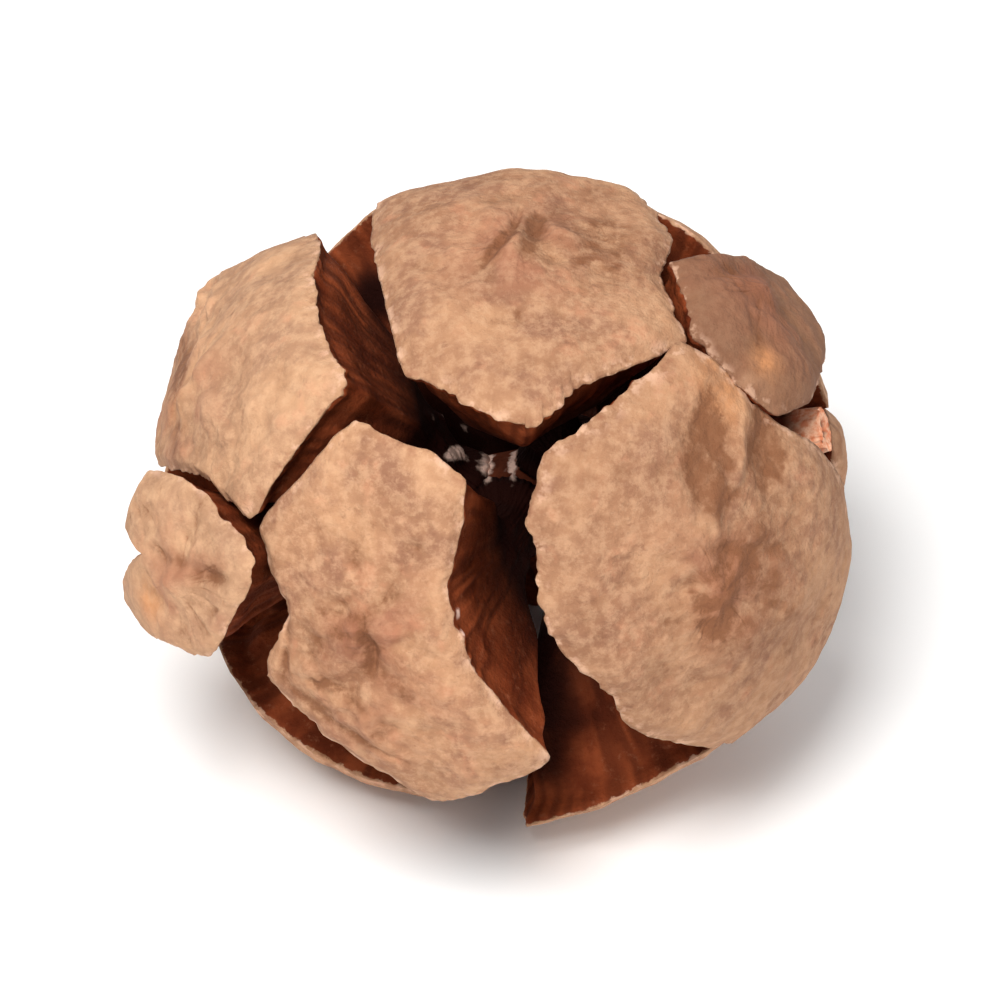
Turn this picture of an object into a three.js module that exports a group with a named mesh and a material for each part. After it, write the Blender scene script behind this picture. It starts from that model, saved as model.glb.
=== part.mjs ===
// An opened cypress cone, woody and dry, lying on its side on three of its scales.
// Twelve peltate scales stand off one central axis in six crossed pairs. Each has a many-sided shield
// outside, a thick side wall, and an underside that narrows to a stalk with pale seed scars on it.
//
// The cone is laid out in its own frame: z runs along the axis from the stalk end to the apex.
// A direction is an azimuth round the axis and a colatitude from the stalk end, both in degrees.
// The group then lays it down, with +Z up and the surface it rests on at z = 0. Lengths are millimetres.
import * as THREE from "three";

// Size of the whole cone, taken over the shields
const BODY_RADIUS = 13.3;
const BODY_HALF_LENGTH = 14.7;

// How the cone lies
const HEADING = 177.4;
const APEX_DROP = 19.8;
const ROLL = 132.8;
const REST_HEIGHT = 12.68;
const CENTRE_SHIFT = [0.48, 0.155];

// The axis, as radius and height along it, from the broken end of the stalk to the tip
const AXIS_PROFILE = [
  [0.95, -14.2],
  [1.05, -13.1],
  [1.3, -11.6],
  [1.85, -9.4],
  [2.05, -6.5],
  [2.0, -1.0],
  [1.7, 2.4],
  [1.6, 4.8],
  [0.7, 5.6],
];
const AXIS_SIDES = 20;
const FOOT_GAP = 0.3;

// Heights on the axis where the six pairs of scales are attached
const FOOT_HEIGHTS = [-8.6, -6.2, -3.4, -0.8, 1.7, 3.8];

// A scale's section, from the umbo out. Face rings are shares of the way to the rim. Wall rings are the
// size left and the depth. Stalk rings are the way along the stalk's middle line, the size left, how
// round the ring is, and its radius where it is round.
const FACE_RINGS = [0.2, 0.4, 0.6, 0.78, 0.92, 1];
const WALL_RINGS = [
  [1.0, 0.8],
  [0.98, 2.2],
  [0.9, 3.6],
];
const STALK_SECTIONS = [
  [0, 0.9, 0, 1.6],
  [0.25, 0.54, 0.15, 1.6],
  [0.5, 0.34, 0.6, 1.6],
  [0.76, 0.22, 0.9, 1.3],
  [1, 0.2, 1, 1.0],
];
const STALK_WAYS = [0.25, 0.36, 0.46, 0.54, 0.62, 0.72, 1];
const RIM_ROUND = 0.22;
const OUTLINE_TENSION = 0.16;
const SAMPLES_PER_CORNER = 3;

// Seed scars, two rings of low bumps round the stalk
const SCAR_WAYS = [0.46, 0.62];
const SCAR_SPREAD = 0.08;
const SCAR_HEIGHT = 0.25;
const SCARS_ROUND = 6;

// Colours
const SHIELD_COLOR = 0xc79a76;
const AXIS_COLOR = 0x6b3a24;

// The scales, pair by pair from the stalk end.
// centre, umbo and outline are directions. lift is how far the shield stands out of the body, and
// crown the radius of its outer curve. lean tips its walls towards the apex, and towards growing azimuth.
const SCALES = [
  {
    name: "scale_1a",
    pair: 1,
    centre: [70, 26],
    umbo: [64, 26],
    lift: 0.7,
    crown: 13,
    lean: [0, 0],
    outline: [
      [57, 41], [68, 36], [94, 31], [116, 27], [116, 15], [63, 9], [26, 13], [12, 22], [25, 31],
      [35, 37], [45, 38],
    ],
  },
  {
    name: "scale_1b",
    pair: 1,
    centre: [-156, 27],
    umbo: [-157, 27],
    lift: -0.3,
    crown: 13,
    lean: [0, 0],
    outline: [[-150, 11], [-178, 10], [169, 21], [-178, 34], [-162, 42], [-150, 40], [-145, 26]],
  },
  {
    name: "scale_2a",
    pair: 2,
    centre: [-42, 42],
    umbo: [-34, 43],
    lift: 0.3,
    crown: 13.3,
    lean: [0, 0],
    outline: [
      [27, 40], [20, 31], [8, 24], [1, 20], [-20, 12], [-75, 11], [-108, 24], [-108, 38], [-98, 50],
      [-90, 58], [-58, 65], [-27, 72], [-6, 70], [6, 65], [12, 54],
    ],
  },
  {
    name: "scale_2b",
    pair: 2,
    centre: [152, 44],
    umbo: [150, 44],
    lift: -0.2,
    crown: 13,
    lean: [0, 0],
    outline: [
      [136, 14], [127, 31], [105, 43], [103, 60], [130, 71], [164, 72], [-168, 63], [-166, 48],
      [178, 36], [164, 24], [160, 12],
    ],
  },
  {
    name: "scale_3a",
    pair: 3,
    centre: [52, 67],
    umbo: [51, 67],
    lift: 0.2,
    crown: 17,
    lean: [0, 8],
    outline: [
      [87, 53], [68, 43], [53, 44], [33, 39], [19, 58], [11, 68], [27, 86], [52, 92], [75, 95],
      [82, 72],
    ],
  },
  {
    name: "scale_3b",
    pair: 3,
    centre: [-127, 77],
    umbo: [-126, 78],
    lift: -0.15,
    crown: 17,
    lean: [0, 0],
    outline: [
      [-99, 60], [-122, 51], [-150, 52], [-164, 66], [-162, 86], [-146, 98], [-114, 101], [-91, 97],
      [-96, 78],
    ],
  },
  {
    name: "scale_4a",
    pair: 4,
    centre: [-23, 104],
    umbo: [-17, 103],
    lift: 0.2,
    crown: 18,
    lean: [14, 0],
    outline: [
      [17, 96], [4, 80], [-14, 88], [-30, 88], [-50, 82], [-55, 90], [-57, 105], [-36, 123],
      [-27, 128], [-14, 119], [4, 118],
    ],
  },
  {
    name: "scale_4b",
    pair: 4,
    centre: [146, 101],
    umbo: [148, 102],
    lift: 0.1,
    crown: 16,
    lean: [0, 0],
    outline: [
      [110, 83], [130, 77], [160, 78], [-168, 77], [-160, 94], [-165, 116], [172, 128], [136, 127],
      [112, 117], [106, 102],
    ],
  },
  {
    name: "scale_5a",
    pair: 5,
    centre: [46, 126],
    umbo: [44, 136],
    lift: 0.2,
    crown: 15,
    lean: [14, 0],
    outline: [
      [94, 126], [76, 109], [57, 107], [38, 103], [27, 99], [14, 115], [9, 121], [24, 135],
      [47, 152], [80, 153], [100, 140],
    ],
  },
  {
    name: "scale_5b",
    pair: 5,
    centre: [-112, 128],
    umbo: [-112, 128],
    lift: -0.55,
    crown: 12,
    lean: [0, 0],
    outline: [
      [-94, 112], [-112, 109], [-140, 106], [-152, 122], [-142, 143], [-125, 164], [-96, 164], [-79, 151],
      [-83, 142], [-88, 124],
    ],
  },
  {
    name: "scale_6a",
    pair: 6,
    centre: [4, 144],
    umbo: [-2, 134],
    lift: 2.0,
    crown: 11,
    lean: [-14, 0],
    outline: [
      [24, 139], [18, 131], [13, 126], [6, 122], [0, 119], [-5, 121], [-11, 127], [-18, 134],
      [-16, 144], [-7, 162], [2, 158], [7, 142], [17, 147],
    ],
  },
  {
    name: "scale_6b",
    pair: 6,
    centre: [152, 151],
    umbo: [150, 150],
    lift: 0.2,
    crown: 11,
    lean: [0, 0],
    outline: [
      [98, 152], [114, 135], [142, 135], [172, 137], [-158, 132], [-146, 146], [-158, 166],
      [110, 174], [82, 165],
    ],
  },
];

const rad = THREE.MathUtils.degToRad;
const lerp = THREE.MathUtils.lerp;

// The turn that lays the cone down: spun about its axis, tipped over, and swung to its heading
const lie = new THREE.Quaternion().setFromEuler(
  new THREE.Euler(0, rad(90 + APEX_DROP), rad(HEADING), "ZYX"),
);
lie.multiply(new THREE.Quaternion().setFromAxisAngle(new THREE.Vector3(0, 0, 1), rad(ROLL)));

function direction([azimuth, colatitude]) {
  const a = rad(azimuth);
  const c = rad(colatitude);
  return new THREE.Vector3(Math.sin(c) * Math.cos(a), Math.sin(c) * Math.sin(a), -Math.cos(c));
}

// Distance from the centre of the body to its surface
function bodyReach(d) {
  const round = (d.x * d.x + d.y * d.y) / BODY_RADIUS ** 2;
  const long = (d.z * d.z) / BODY_HALF_LENGTH ** 2;
  return 1 / Math.sqrt(round + long);
}

// Radius of the axis at a height
function axisRadius(height) {
  for (let i = 1; i < AXIS_PROFILE.length; i++) {
    const [r0, z0] = AXIS_PROFILE[i - 1];
    const [r1, z1] = AXIS_PROFILE[i];
    if (height <= z1) return lerp(r0, r1, (height - z0) / (z1 - z0));
  }
  return 0;
}

// Seeded smooth noise over space, from -1 to 1
function lattice(i, j, k) {
  const s = Math.sin(i * 127.1 + j * 311.7 + k * 74.7) * 43758.5453;
  return 2 * (s - Math.floor(s)) - 1;
}
function noise(x, y, z) {
  const [i, j, k] = [x, y, z].map(Math.floor);
  const [u, v, w] = [x - i, y - j, z - k].map((t) => t * t * (3 - 2 * t));
  const row = (b, c) => lerp(lattice(i, j + b, k + c), lattice(i + 1, j + b, k + c), u);
  return lerp(lerp(row(0, 0), row(1, 0), v), lerp(row(0, 1), row(1, 1), v), w);
}

// Where a shield sits: its middle, and its across, along and outward directions
function seatOf(scale) {
  const ray = direction(scale.centre);
  const middle = ray.clone().multiplyScalar(bodyReach(ray));
  const out = new THREE.Vector3(
    middle.x / BODY_RADIUS ** 2,
    middle.y / BODY_RADIUS ** 2,
    middle.z / BODY_HALF_LENGTH ** 2,
  ).normalize();
  middle.addScaledVector(out, scale.lift);
  const a = rad(scale.centre[0]);
  const across = new THREE.Vector3(-Math.sin(a), Math.cos(a), 0);
  const along = out.clone().cross(across);
  const [tip, swing] = scale.lean.map((angle) => Math.tan(rad(angle)));
  const inward = out.clone().addScaledVector(along, tip).addScaledVector(across, swing).negate();
  const root = middle.clone().addScaledVector(inward, middle.length());
  return { middle, across, along, out, root };
}

const crownDrop = (scale, x, y) => -(x * x + y * y) / (2 * scale.crown);

// A direction as across and along coordinates on the shield's curved face
function onFace(scale, seat, ray) {
  const local = (v) => [seat.across, seat.along, seat.out].map((unit) => v.dot(unit));
  const [dx, dy, dz] = local(ray);
  const [mx, my, mz] = local(seat.middle).map((m) => -m);
  const a = (dx * dx + dy * dy) / (2 * scale.crown);
  const b = dz + (mx * dx + my * dy) / scale.crown;
  const c = mz + (mx * mx + my * my) / (2 * scale.crown);
  const t = a < 1e-9 ? -c / b : (-b + Math.sqrt(Math.max(0, b * b - 4 * a * c))) / (2 * a);
  return [mx + t * dx, my + t * dy];
}

// Height of the low relief on the face: the umbo, folds that run out from it, and slow swells
function relief(scale, umbo, x, y) {
  const seed = 7.3 * SCALES.indexOf(scale);
  const [dx, dy] = [x - umbo[0], y - umbo[1]];
  const far = Math.hypot(dx, dy);
  const knob = 0.5 * Math.exp(-((far / 0.8) ** 2));
  const round = far || 1;
  const ray = noise((2.1 * dx) / round + seed, (2.1 * dy) / round, seed + 0.16 * far);
  const folds = 0.16 * ray * (far / 2) ** 2 * Math.exp(2 - far);
  const swell = 0.32 * noise(x / 3.4 + seed, y / 3.4, seed);
  return knob + folds + swell;
}

// The plane the cone rests on, in the cone's own frame, and a point kept on or above it
const floorUp = new THREE.Vector3(0, 0, 1).applyQuaternion(lie.clone().invert());
function aboveFloor(point) {
  const height = point.dot(floorUp) + REST_HEIGHT;
  return height < 0 ? point.addScaledVector(floorUp, -height) : point;
}

// One scale as a closed surface: rings from the umbo over the rim, down the wall, and in along the stalk
function scaleGeometry(scale) {
  const seat = seatOf(scale);
  const at = (x, y, h) =>
    seat.middle
      .clone()
      .addScaledVector(seat.across, x)
      .addScaledVector(seat.along, y)
      .addScaledVector(seat.out, h);
  const umbo = onFace(scale, seat, direction(scale.umbo));
  const corners = scale.outline.map((o) => new THREE.Vector3(...onFace(scale, seat, direction(o)), 0));
  if (THREE.ShapeUtils.area(corners) < 0) corners.reverse();
  const curve = new THREE.CatmullRomCurve3(corners, true, "catmullrom", OUTLINE_TENSION);
  const count = corners.length * SAMPLES_PER_CORNER;
  const rim = Array.from({ length: count }, (_, i) => curve.getPoint(i / count));
  const drops = rim.map((p) => crownDrop(scale, p.x, p.y));
  const heart = at(0, 0, drops.reduce((a, b) => a + b) / count);

  const faceHeight = (x, y, share) => {
    const low = relief(scale, umbo, x, y) * (1 - 0.6 * share ** 6) - RIM_ROUND * share ** 10;
    return crownDrop(scale, x, y) + low;
  };
  const face = (share) =>
    rim.map((p) => {
      const x = lerp(umbo[0], p.x, share);
      const y = lerp(umbo[1], p.y, share);
      return at(x, y, faceHeight(x, y, share));
    });

  // The wall goes in towards a root near the axis
  const sunk = (point, depth) => {
    const inward = seat.root.clone().sub(point).normalize();
    return point.clone().addScaledVector(inward, depth);
  };
  const wall = ([size, depth]) =>
    rim.map((p, i) => sunk(at(p.x, p.y, drops[i]), depth).lerp(sunk(heart, depth), 1 - size));

  // The stalk's middle line, from under the shield to the axis
  const a = rad(scale.centre[0]);
  const footHeight = FOOT_HEIGHTS[scale.pair - 1];
  const footReach = axisRadius(footHeight) + FOOT_GAP;
  const foot = new THREE.Vector3(footReach * Math.cos(a), footReach * Math.sin(a), footHeight);
  const inward = new THREE.Vector3(-Math.cos(a), -Math.sin(a), 0);
  const start = sunk(heart, WALL_RINGS.at(-1)[1]);
  const bend = 0.4 * start.distanceTo(foot);
  const line = new THREE.CubicBezierCurve3(
    start,
    sunk(start, bend),
    foot.clone().addScaledVector(inward, -bend),
    foot,
  );
  const up = new THREE.Vector3(0, 0, 1);
  const first = Math.atan2(rim[0].y, rim[0].x);
  const stalk = (way) => {
    const [size, round, radius] = stalkSection(way);
    const middle = line.getPoint(way);
    const along = seat.along.clone().lerp(up, way).normalize();
    return rim.map((p, i) => {
      const turn = first + (2 * Math.PI * i) / count;
      const reach = radius + scarHeight(way, i / count);
      const x = lerp(p.x * size, reach * Math.cos(turn), round);
      const y = lerp(p.y * size, reach * Math.sin(turn), round);
      return middle.clone().addScaledVector(seat.across, x).addScaledVector(along, y);
    });
  };

  const rings = [...FACE_RINGS.map(face), ...WALL_RINGS.map(wall), ...STALK_WAYS.map(stalk)];
  return ringSurface(at(...umbo, faceHeight(...umbo, 0)), rings, foot);
}

// The stalk's size left, roundness and round radius at any way along its middle line
function stalkSection(way) {
  const next = Math.max(1, STALK_SECTIONS.findIndex((section) => section[0] >= way));
  const [low, high] = [STALK_SECTIONS[next - 1], STALK_SECTIONS[next]];
  const t = (way - low[0]) / (high[0] - low[0]);
  return [1, 2, 3].map((i) => lerp(low[i], high[i], t));
}

// Height of the seed scars at a way along the stalk and a share of the way round it
function scarHeight(way, share) {
  const rise = SCAR_WAYS.map((row, i) => {
    const near = Math.max(0, 1 - Math.abs(way - row) / SCAR_SPREAD);
    return near * Math.max(0, Math.cos(2 * Math.PI * SCARS_ROUND * share + i * Math.PI));
  });
  return SCAR_HEIGHT * Math.max(...rise);
}

// A closed surface from a first point, rings of equal count, and a last point
function ringSurface(first, rings, last) {
  const count = rings[0].length;
  const points = [first, ...rings.flat(), last];
  const index = [];
  const id = (ring, i) => 1 + ring * count + (i % count);
  for (let i = 0; i < count; i++) index.push(0, id(0, i), id(0, i + 1));
  for (let r = 0; r + 1 < rings.length; r++)
    for (let i = 0; i < count; i++) {
      index.push(id(r, i), id(r + 1, i), id(r + 1, i + 1));
      index.push(id(r, i), id(r + 1, i + 1), id(r, i + 1));
    }
  const end = points.length - 1;
  for (let i = 0; i < count; i++) index.push(id(rings.length - 1, i), end, id(rings.length - 1, i + 1));
  const positions = points.flatMap((p) => aboveFloor(p).toArray());
  return new THREE.BufferGeometry()
    .setAttribute("position", new THREE.Float32BufferAttribute(positions, 3))
    .setIndex(index);
}

function axisGeometry() {
  const [lowRadius, low] = AXIS_PROFILE[0];
  const high = AXIS_PROFILE.at(-1)[1];
  const profile = [[0, low], ...AXIS_PROFILE, [0, high + 0.2]].map(([r, z]) => new THREE.Vector2(r, z));
  const lathe = new THREE.LatheGeometry(profile, AXIS_SIDES);
  return lathe.rotateX(Math.PI / 2);
}

const group = new THREE.Group();
group.quaternion.copy(lie);
group.position.set(...CENTRE_SHIFT, REST_HEIGHT);

function addPiece(name, geometry, color) {
  const material = new THREE.MeshStandardMaterial({ color, roughness: 0.75, metalness: 0 });
  const mesh = new THREE.Mesh(geometry, material);
  mesh.name = name;
  group.add(mesh);
}

addPiece("axis", axisGeometry(), AXIS_COLOR);
for (const scale of SCALES) addPiece(scale.name, scaleGeometry(scale), SHIELD_COLOR);

export default group;
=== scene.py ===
"""A ripe, opened cypress cone lying on its side, in metres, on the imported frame.

Every scale is built again from the same named values as the solids, with a finer surface: a worn
and jagged rim, folds and pits on the shield, streaked side walls and the pale scars of the shed
seeds.
"""
import math

import bpy
import numpy as np
from mathutils import Euler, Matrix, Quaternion, Vector


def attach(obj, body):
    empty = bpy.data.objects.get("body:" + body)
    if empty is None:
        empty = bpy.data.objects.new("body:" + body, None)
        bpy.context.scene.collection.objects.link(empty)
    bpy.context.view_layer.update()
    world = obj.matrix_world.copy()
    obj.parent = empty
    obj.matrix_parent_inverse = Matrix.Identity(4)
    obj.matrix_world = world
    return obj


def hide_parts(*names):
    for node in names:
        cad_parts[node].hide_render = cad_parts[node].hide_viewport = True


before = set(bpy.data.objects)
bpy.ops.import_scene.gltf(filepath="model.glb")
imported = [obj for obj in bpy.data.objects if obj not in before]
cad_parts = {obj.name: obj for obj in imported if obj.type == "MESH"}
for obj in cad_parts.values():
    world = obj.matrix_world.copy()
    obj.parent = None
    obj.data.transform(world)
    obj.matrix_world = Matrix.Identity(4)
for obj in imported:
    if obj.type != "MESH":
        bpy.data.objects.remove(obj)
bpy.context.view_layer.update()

# ---- values shared with the solids, in millimetres and degrees
BODY_RADIUS = 13.3
BODY_HALF_LENGTH = 14.7
HEADING = 177.4
APEX_DROP = 19.8
ROLL = 132.8
REST_HEIGHT = 12.68
CENTRE_SHIFT = (0.48, 0.155)
# radius and height
AXIS_PROFILE = [
    (0.95, -14.2), (1.05, -13.1), (1.3, -11.6), (1.85, -9.4), (2.05, -6.5), (2.0, -1.0), (1.7, 2.4),
    (1.6, 4.8), (0.7, 5.6),
]
FOOT_GAP = 0.3
FOOT_HEIGHTS = [-8.6, -6.2, -3.4, -0.8, 1.7, 3.8]
# way along the stalk, size of the outline, how round it is, and radius where round
STALK_SECTIONS = [
    (0, 0.9, 0, 1.6), (0.25, 0.54, 0.15, 1.6), (0.5, 0.34, 0.6, 1.6), (0.76, 0.22, 0.9, 1.3),
    (1, 0.2, 1, 1.0),
]
# depth below the rim, and size of the outline
WALL_SECTIONS = [(0, 1.0), (0.8, 1.0), (2.2, 0.98), (3.6, 0.9)]
RIM_ROUND = 0.22
OUTLINE_TENSION = 0.16
SCAR_WAYS = (0.46, 0.62)
SCAR_SPREAD = 0.08
SCAR_HEIGHT = 0.25
SCARS_ROUND = 6

# name, pair, centre, umbo, lift, crown (the radius of the shield's curve), lean, outline. A
# direction is an azimuth round the axis and a colatitude from the stalk end.
SCALES = [
    ("scale_1a", 1, (70, 26), (64, 26), 0.7, 13, (0, 0), [
        (57, 41), (68, 36), (94, 31), (116, 27), (116, 15), (63, 9), (26, 13), (12, 22), (25, 31),
        (35, 37), (45, 38)]),
    ("scale_1b", 1, (-156, 27), (-157, 27), -0.3, 13, (0, 0), [
        (-150, 11), (-178, 10), (169, 21), (-178, 34), (-162, 42), (-150, 40), (-145, 26)]),
    ("scale_2a", 2, (-42, 42), (-34, 43), 0.3, 13.3, (0, 0), [
        (27, 40), (20, 31), (8, 24), (1, 20), (-20, 12), (-75, 11), (-108, 24), (-108, 38),
        (-98, 50), (-90, 58), (-58, 65), (-27, 72), (-6, 70), (6, 65), (12, 54)]),
    ("scale_2b", 2, (152, 44), (150, 44), -0.2, 13, (0, 0), [
        (136, 14), (127, 31), (105, 43), (103, 60), (130, 71), (164, 72), (-168, 63), (-166, 48),
        (178, 36), (164, 24), (160, 12)]),
    ("scale_3a", 3, (52, 67), (51, 67), 0.2, 17, (0, 8), [
        (87, 53), (68, 43), (53, 44), (33, 39), (19, 58), (11, 68), (27, 86), (52, 92), (75, 95),
        (82, 72)]),
    ("scale_3b", 3, (-127, 77), (-126, 78), -0.15, 17, (0, 0), [
        (-99, 60), (-122, 51), (-150, 52), (-164, 66), (-162, 86), (-146, 98), (-114, 101),
        (-91, 97), (-96, 78)]),
    ("scale_4a", 4, (-23, 104), (-17, 103), 0.2, 18, (14, 0), [
        (17, 96), (4, 80), (-14, 88), (-30, 88), (-50, 82), (-55, 90), (-57, 105), (-36, 123),
        (-27, 128), (-14, 119), (4, 118)]),
    ("scale_4b", 4, (146, 101), (148, 102), 0.1, 16, (0, 0), [
        (110, 83), (130, 77), (160, 78), (-168, 77), (-160, 94), (-165, 116), (172, 128),
        (136, 127), (112, 117), (106, 102)]),
    ("scale_5a", 5, (46, 126), (44, 136), 0.2, 15, (14, 0), [
        (94, 126), (76, 109), (57, 107), (38, 103), (27, 99), (14, 115), (9, 121), (24, 135),
        (47, 152), (80, 153), (100, 140)]),
    ("scale_5b", 5, (-112, 128), (-112, 128), -0.55, 12, (0, 0), [
        (-94, 112), (-112, 109), (-140, 106), (-152, 122), (-142, 143), (-125, 164), (-96, 164),
        (-79, 151), (-83, 142), (-88, 124)]),
    ("scale_6a", 6, (4, 144), (-2, 134), 2.0, 11, (-14, 0), [
        (24, 139), (18, 131), (13, 126), (6, 122), (0, 119), (-5, 121), (-11, 127), (-18, 134),
        (-16, 144), (-7, 162), (2, 158), (7, 142), (17, 147)]),
    ("scale_6b", 6, (152, 151), (150, 150), 0.2, 11, (0, 0), [
        (98, 152), (114, 135), (142, 135), (172, 137), (-158, 132), (-146, 146), (-158, 166),
        (110, 174), (82, 165)]),
]

# Folds seen on the shields: scale, depth (a ridge is negative), half width, and points as
# directions
# A fold is also painted darker as shade, and a ridge lighter as a highlight
FOLDS = [
    ("scale_3a", 0.24, 0.26, [(64, 68), (55, 69), (46, 73)]),
    ("scale_3a", -0.16, 0.30, [(60, 67), (53, 67), (47, 69)]),
    ("scale_3a", 0.32, 0.42, [(64, 65), (55, 65), (47, 66)]),
    ("scale_3a", -0.22, 0.7, [(58, 60), (54, 58)]),
    ("scale_3a", 0.45, 2.2, [(76, 60), (60, 53)]),
    ("scale_3a", 0.14, 0.22, [(37, 67), (34, 67)]),
    ("scale_3a", 0.10, 0.5, [(49, 83), (38, 77)]),
    ("scale_4a", 0.16, 0.30, [(-14, 108), (-15, 102), (-11, 94)]),
    ("scale_4a", 0.14, 0.22, [(-20, 103), (-23, 104), (-26, 105)]),
    ("scale_4a", -0.14, 0.5, [(-23, 117), (-26, 116)]),
    ("scale_4a", -0.14, 0.5, [(-30, 115), (-33, 113)]),
    ("scale_4a", 0.16, 0.3, [(-26, 119), (-28, 115)]),
    ("scale_4a", 0.12, 0.3, [(-33, 117), (-33, 112)]),
    ("scale_4a", 0.28, 0.26, [(-15, 103), (-21, 104), (-28, 106)]),
    ("scale_4a", 0.14, 0.5, [(-18, 97), (-21, 95)]),
    ("scale_4a", 0.14, 0.5, [(-19, 115), (-20, 113)]),
    ("scale_4a", 0.12, 0.7, [(-31, 99), (-34, 96)]),
    ("scale_4a", 0.22, 0.26, [(-8, 117), (-18, 120), (-24, 123), (-29, 125)]),
    ("scale_4a", 0.22, 0.26, [(-20, 121), (-28, 123), (-33, 119), (-40, 112), (-46, 105)]),
    ("scale_4a", -0.16, 0.35, [(-22, 118), (-28, 119), (-35, 113), (-42, 106)]),
    ("scale_4a", 0.14, 0.3, [(-19, 116), (-26, 115), (-34, 108)]),
    ("scale_4a", -0.14, 0.6, [(-9, 110), (-9, 98)]),
    ("scale_2a", 0.15, 0.34, [(-31, 47), (-37, 46)]),
    ("scale_2a", 0.14, 0.40, [(-38, 48), (-45, 46)]),
    ("scale_2a", 0.10, 0.30, [(-6, 64), (-8, 63)]),
    ("scale_2a", 0.10, 0.30, [(-27, 56), (-30, 55)]),
    ("scale_2a", 0.42, 0.85, [(17, 36), (9, 38), (-1, 40), (-12, 42)]),
    ("scale_2a", -0.25, 0.5, [(14, 29), (3, 31), (-11, 34)]),
    ("scale_2a", 0.50, 0.9, [(8, 24), (-5, 26), (-17, 28)]),
    ("scale_2a", 0.12, 0.4, [(-24, 41), (-42, 27)]),
    ("scale_5a", -0.75, 2.3, [(110, 134), (88, 133), (68, 131)]),
    ("scale_5a", -0.28, 0.8, [(87, 133), (66, 131), (52, 131), (34, 128), (19, 121)]),
    ("scale_5a", -0.14, 0.7, [(37, 125), (22, 110)]),
    ("scale_1a", 0.22, 0.5, [(52, 37), (67, 31), (87, 27)]),
    ("scale_1a", 0.15, 0.5, [(48, 28), (36, 21)]),
    ("scale_6a", 0.25, 0.5, [(7, 139), (0, 131), (-3, 125)]),
    ("scale_6a", 0.15, 0.4, [(18, 141), (11, 134)]),
]

# Brown stains on the skin: scale, strength, half width, and points as directions
STAINS = [
    ("scale_2a", 0.85, 1.0, [(15, 36), (2, 38), (-7, 38), (-17, 39)]),
    ("scale_2a", 0.60, 0.9, [(12, 25), (-4, 25), (-15, 24)]),
    ("scale_2a", 0.20, 1.8, [(-20, 41), (-46, 48)]),
    ("scale_2a", 0.30, 0.35, [(-31, 47), (-37, 46)]),
    ("scale_2a", 0.25, 0.4, [(-38, 48), (-44, 47)]),
    ("scale_2a", 0.20, 0.35, [(-22, 64), (-24, 63)]),
    ("scale_3a", 0.34, 2.6, [(68, 53), (42, 53)]),
    ("scale_3a", 0.55, 0.5, [(45, 74), (52, 70), (61, 64)]),
    ("scale_4a", 0.30, 2.6, [(-12, 111), (-34, 103)]),
    ("scale_4a", 0.18, 1.6, [(-26, 120), (-46, 102)]),
    ("scale_4a", 0.25, 0.5, [(-11, 112), (-14, 109)]),
    ("scale_4a", 0.22, 0.4, [(-29, 101), (-32, 99)]),
    ("scale_4a", 0.22, 0.4, [(-37, 109), (-40, 107)]),
    ("scale_6a", 0.24, 0.9, [(4, 129), (-5, 124)]),
    ("scale_1a", 0.16, 2.4, [(62, 34), (50, 18)]),
    ("scale_5a", 0.42, 1.3, [(92, 142), (64, 139), (49, 138), (36, 139), (27, 141)]),
    ("scale_2a", 0.26, 3.6, [(0, 30), (-50, 38), (-90, 44)]),
]

# Pinker areas of the skin: scale, place as a direction, reach, and strength
BLUSHES = [
    ("scale_4a", (-28, 107), 4.2, 0.7),
    ("scale_2a", (-32, 44), 3.4, 0.6),
    ("scale_3a", (54, 62), 3.0, 0.6),
    ("scale_5a", (60, 147), 3.0, 0.8),
    ("scale_1a", (60, 28), 3.0, 0.6),
]

# Wrinkled areas of the skin: scale, place as a direction, reach, and height
WRINKLED = [
    ("scale_4a", (-28, 110), 4.6, 0.17),
    ("scale_2a", (-34, 44), 3.2, 0.10),
    ("scale_2a", (0, 32), 3.4, 0.13),
    ("scale_3a", (54, 66), 2.8, 0.10),
    ("scale_6a", (0, 134), 2.6, 0.09),
    ("scale_1a", (56, 26), 2.8, 0.08),
]

# How much paler than the rest a scale's skin is; darker is negative
TONES = {
    "scale_1a": -0.85, "scale_2a": -0.30, "scale_3a": -0.22, "scale_4a": 0.0, "scale_5a": 0.30,
    "scale_6a": 0.40, "scale_1b": -0.30, "scale_2b": 0.15, "scale_3b": -0.10, "scale_4b": 0.20,
    "scale_5b": -0.15, "scale_6b": 0.05,
}

# Where a rim bulges a little, or falls back where negative: scale, place as a direction, how far,
# and half width
RIM_BULGES = [
    ("scale_3a", (9, 68), -0.50, 1.1),
    ("scale_4a", (-54, 92), -0.45, 1.2),
    ("scale_6b", (-148, 158), 0.25, 0.8),
    ("scale_5b", (-122, 164), 0.20, 0.8),
]

# Pale marks where the seeds sat: two ends as azimuth, reach and height, half width, and strength
SEED_MARKS = [
    ((36, 4.05, 0.79), (52, 2.9, 0.56), 0.30, 1.0),
    ((76, 2.06, -0.08), (40, 2.04, -0.20), 0.28, 1.0),
    ((40, 2.04, -0.20), (18, 2.84, -0.50), 0.21, 0.8),
    ((66, 2.06, -1.40), (36, 2.06, -1.34), 0.26, 1.0),
    ((36, 2.06, -1.34), (15, 2.76, -1.52), 0.19, 0.8),
    ((131, 4.6, 1.70), (133, 4.3, 1.50), 0.26, 0.35),
    ((-19, 12.3, -0.50), (-19.3, 12.4, -0.52), 0.26, 0.7),
    ((-22, 12.8, -0.57), (-22.2, 12.9, -0.55), 0.22, 0.6),
]
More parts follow.
